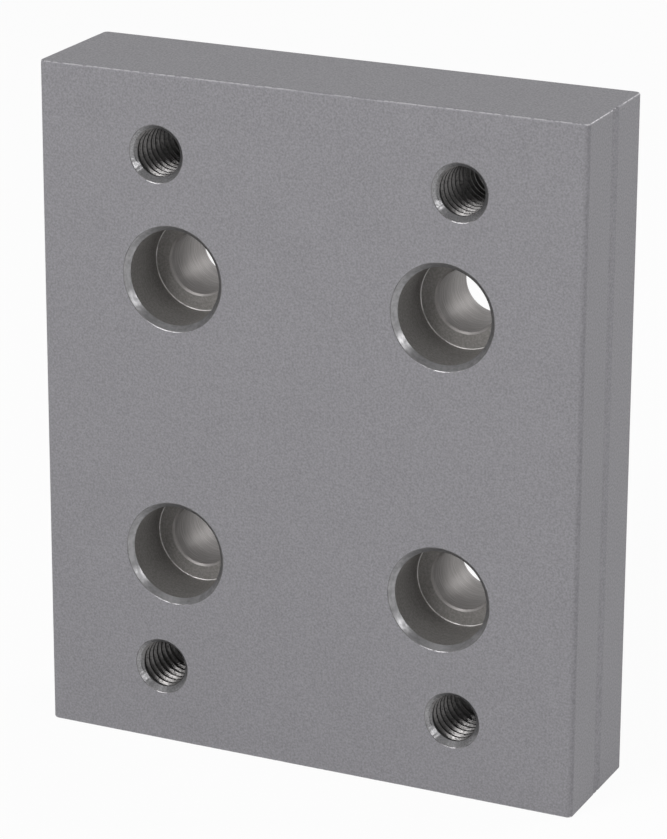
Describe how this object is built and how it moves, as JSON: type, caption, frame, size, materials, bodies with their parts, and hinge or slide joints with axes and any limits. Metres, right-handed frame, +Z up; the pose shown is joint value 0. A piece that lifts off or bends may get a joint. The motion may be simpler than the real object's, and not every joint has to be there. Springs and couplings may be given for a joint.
{
  "type": "machined mounting block",
  "caption": "Flat rectangular aluminium block that bolts on with sunk cap screws and carries further parts on tapped holes near its corners.",
  "frame": {"origin": "middle of the lower sawn end, halfway between the front and back faces, on the surface the block stands on", "axes": "+Z up along the block's height, +X along its width to the right as seen from the front, +Y from the front face with the counterbores towards the back face"},
  "size_m": [0.08, 0.019, 0.097],
  "materials": {
    "block": "clear anodised, matte grey"
  },
  "bodies": {
    "root": {"mounting_block": "block"}
  },
  "joints": []
}
